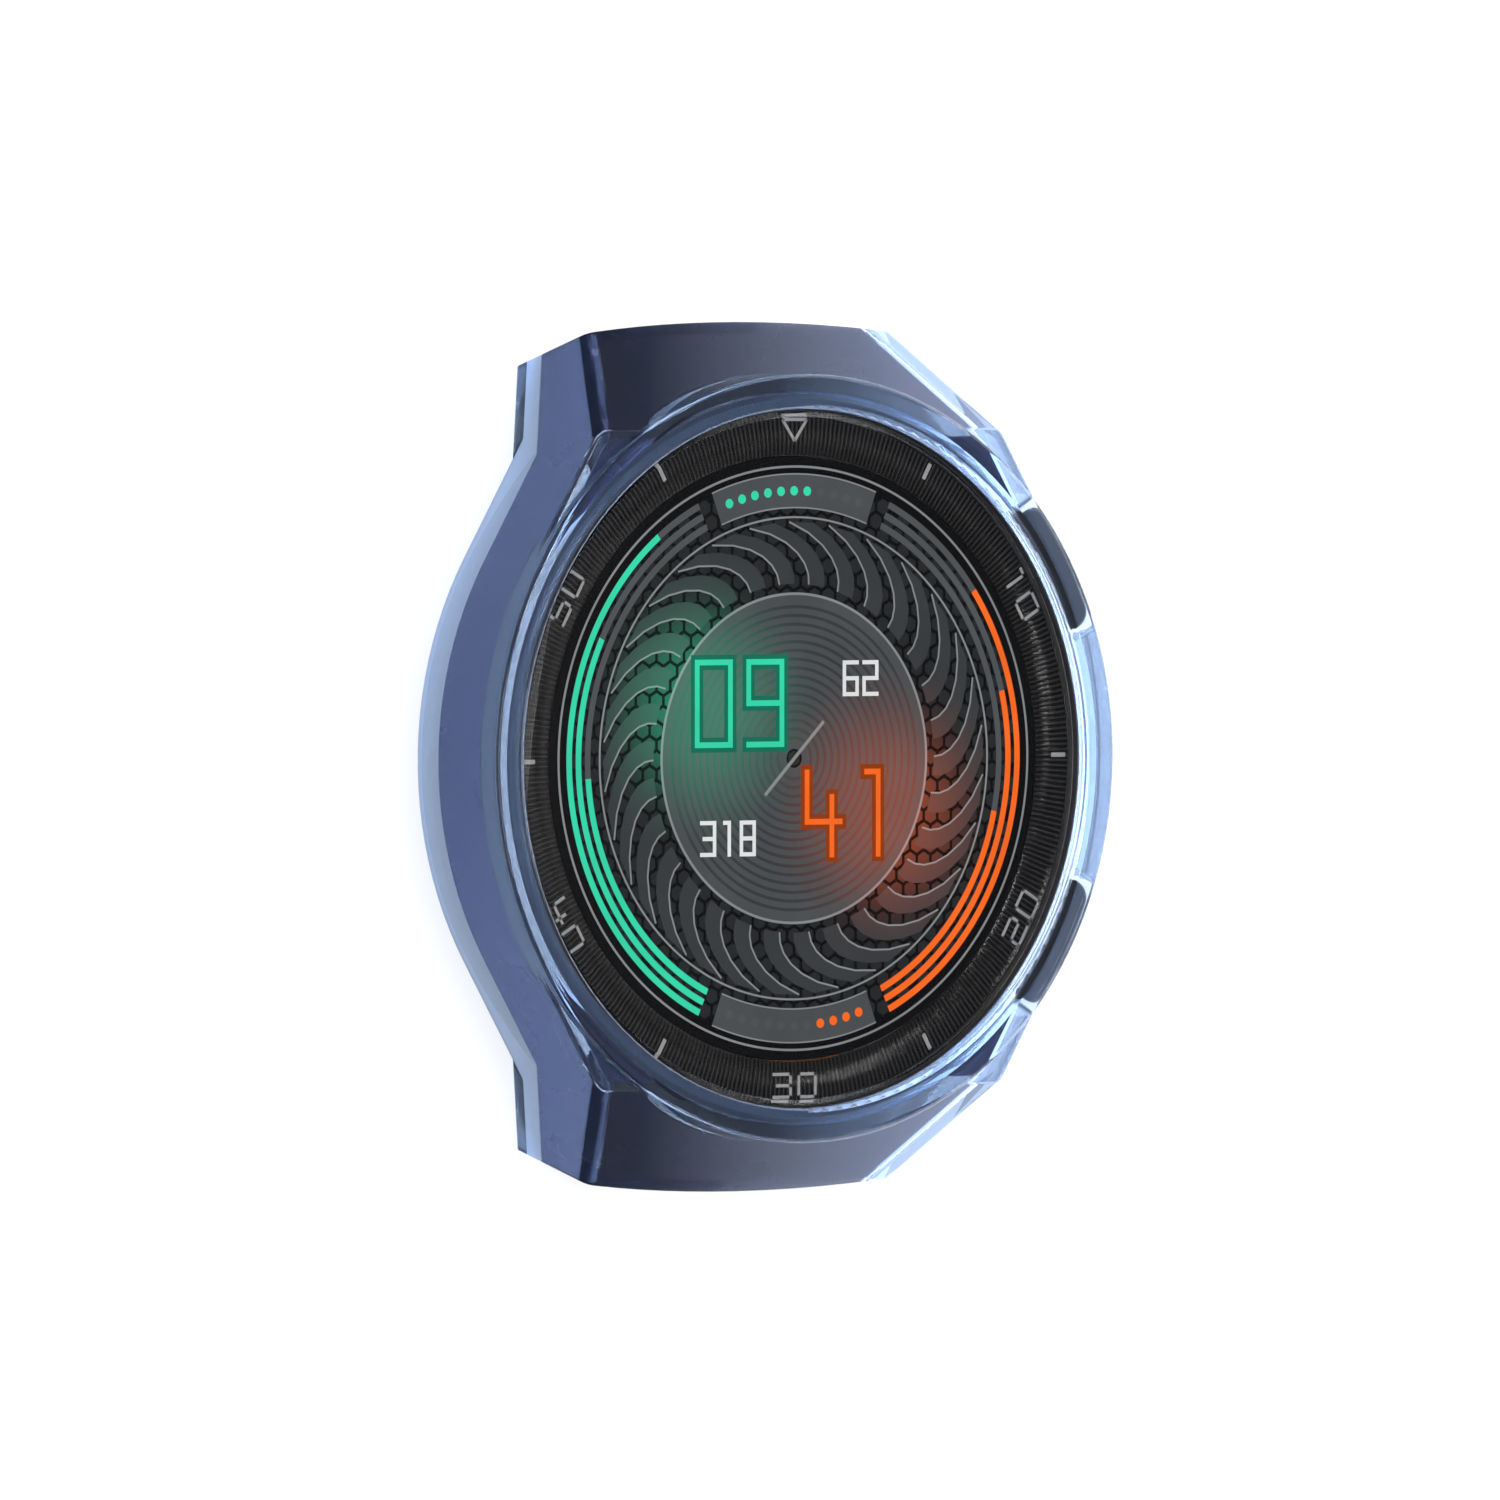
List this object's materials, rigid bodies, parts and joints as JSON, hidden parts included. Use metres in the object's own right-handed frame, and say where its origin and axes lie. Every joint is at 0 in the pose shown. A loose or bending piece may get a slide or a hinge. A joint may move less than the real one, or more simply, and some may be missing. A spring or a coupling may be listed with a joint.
{
  "type": "smartwatch case",
  "caption": "Round smartwatch head with two side buttons in a clear blue push-on protective cover with hooded lugs and open strap ends.",
  "frame": {"origin": "under the centre of the dial, on the plane that the cover's four lug tips and the sensor window rest on", "axes": "+Z out of the dial, +Y to twelve o'clock, +X to three o'clock, where the buttons are"},
  "size_m": [0.0485, 0.055, 0.013],
  "materials": {
    "cover_tpu": "clear blue, moulded",
    "case_black": "satin black coating",
    "bezel_ceramic": "polished black",
    "front_glass": "polished",
    "seal_rubber": "matte",
    "dial_black": "printed, fluted",
    "display": "lit display",
    "copper_sheet": "bare copper",
    "amber_flex": "amber film",
    "light_alloy": "as machined",
    "antenna_metal": "gold flash",
    "board_green": "solder mask",
    "chip_black": "moulded",
    "steel": "bright",
    "cell_foil": "pouch foil",
    "pad_foam": "foam",
    "plug_white": "moulded",
    "rear_black": "moulded, polished",
    "sensor_glass": "dark tinted",
    "lamp_green": "clear lens",
    "diode_dark": "filter glass",
    "contact_gold": "gold plated",
    "magnet_nickel": "nickel plated",
    "membrane_white": "expanded film",
    "button_grey": "satin dark grey",
    "weight_tungsten": "sintered"
  },
  "bodies": {
    "watch": {"case_frame": "case_black", "lug_bridge_twelve": "case_black", "lug_bridge_six": "case_black", "bezel_ring": "bezel_ceramic", "glass_seal": "seal_rubber", "cover_glass": "front_glass", "minute_ring": "dial_black", "display_panel": "display", "display_backing": "copper_sheet", "display_flex": "amber_flex", "inner_chassis": "light_alloy", "antenna_ring": "antenna_metal", "main_board": "board_green", "board_screws": "steel", "board_chips": "chip_black", "shield_can": "steel", "battery": "cell_foil", "battery_pad": "pad_foam", "battery_plug": "plug_white", "battery_ribbon": "amber_flex", "haptic_case": "steel", "rear_cover": "rear_black", "rear_seal": "seal_rubber", "rear_screws": "steel", "sensor_window": "sensor_glass", "sensor_board": "board_green", "sensor_baffle": "chip_black", "sensor_leds": "lamp_green", "sensor_photodiodes": "diode_dark", "charging_contacts": "contact_gold", "charging_magnets": "magnet_nickel", "key_bracket": "steel", "vent_membrane": "membrane_white", "upper_key_switch": "chip_black", "lower_key_switch": "chip_black"},
    "cover": {"bumper_cover": "cover_tpu"},
    "motor_weight": {"haptic_mass": "weight_tungsten"},
    "upper_button": {"upper_button_cap": "button_grey", "upper_button_seal": "seal_rubber", "upper_button_clip": "steel"},
    "lower_button": {"lower_button_cap": "button_grey", "lower_button_seal": "seal_rubber", "lower_button_clip": "steel"}
  },
  "joints": [
    {"name": "cover_lift", "type": "slide", "parent": "watch", "child": "cover", "axis": [0, 0, 1], "range_m": [0, 0.014]},
    {"name": "upper_button_press", "type": "slide", "parent": "watch", "child": "upper_button", "axis": [-0.8616, -0.5075, 0], "range_m": [0, 0.0004], "stiffness_N_per_m": 4000},
    {"name": "lower_button_press", "type": "slide", "parent": "watch", "child": "lower_button", "axis": [-0.8616, 0.5075, 0], "range_m": [0, 0.0004], "stiffness_N_per_m": 4000},
    {"name": "motor_shake", "type": "slide", "parent": "watch", "child": "motor_weight", "axis": [1, 0, 0], "range_m": [-0.0003, 0.0003], "stiffness_N_per_m": 1500}
  ]
}
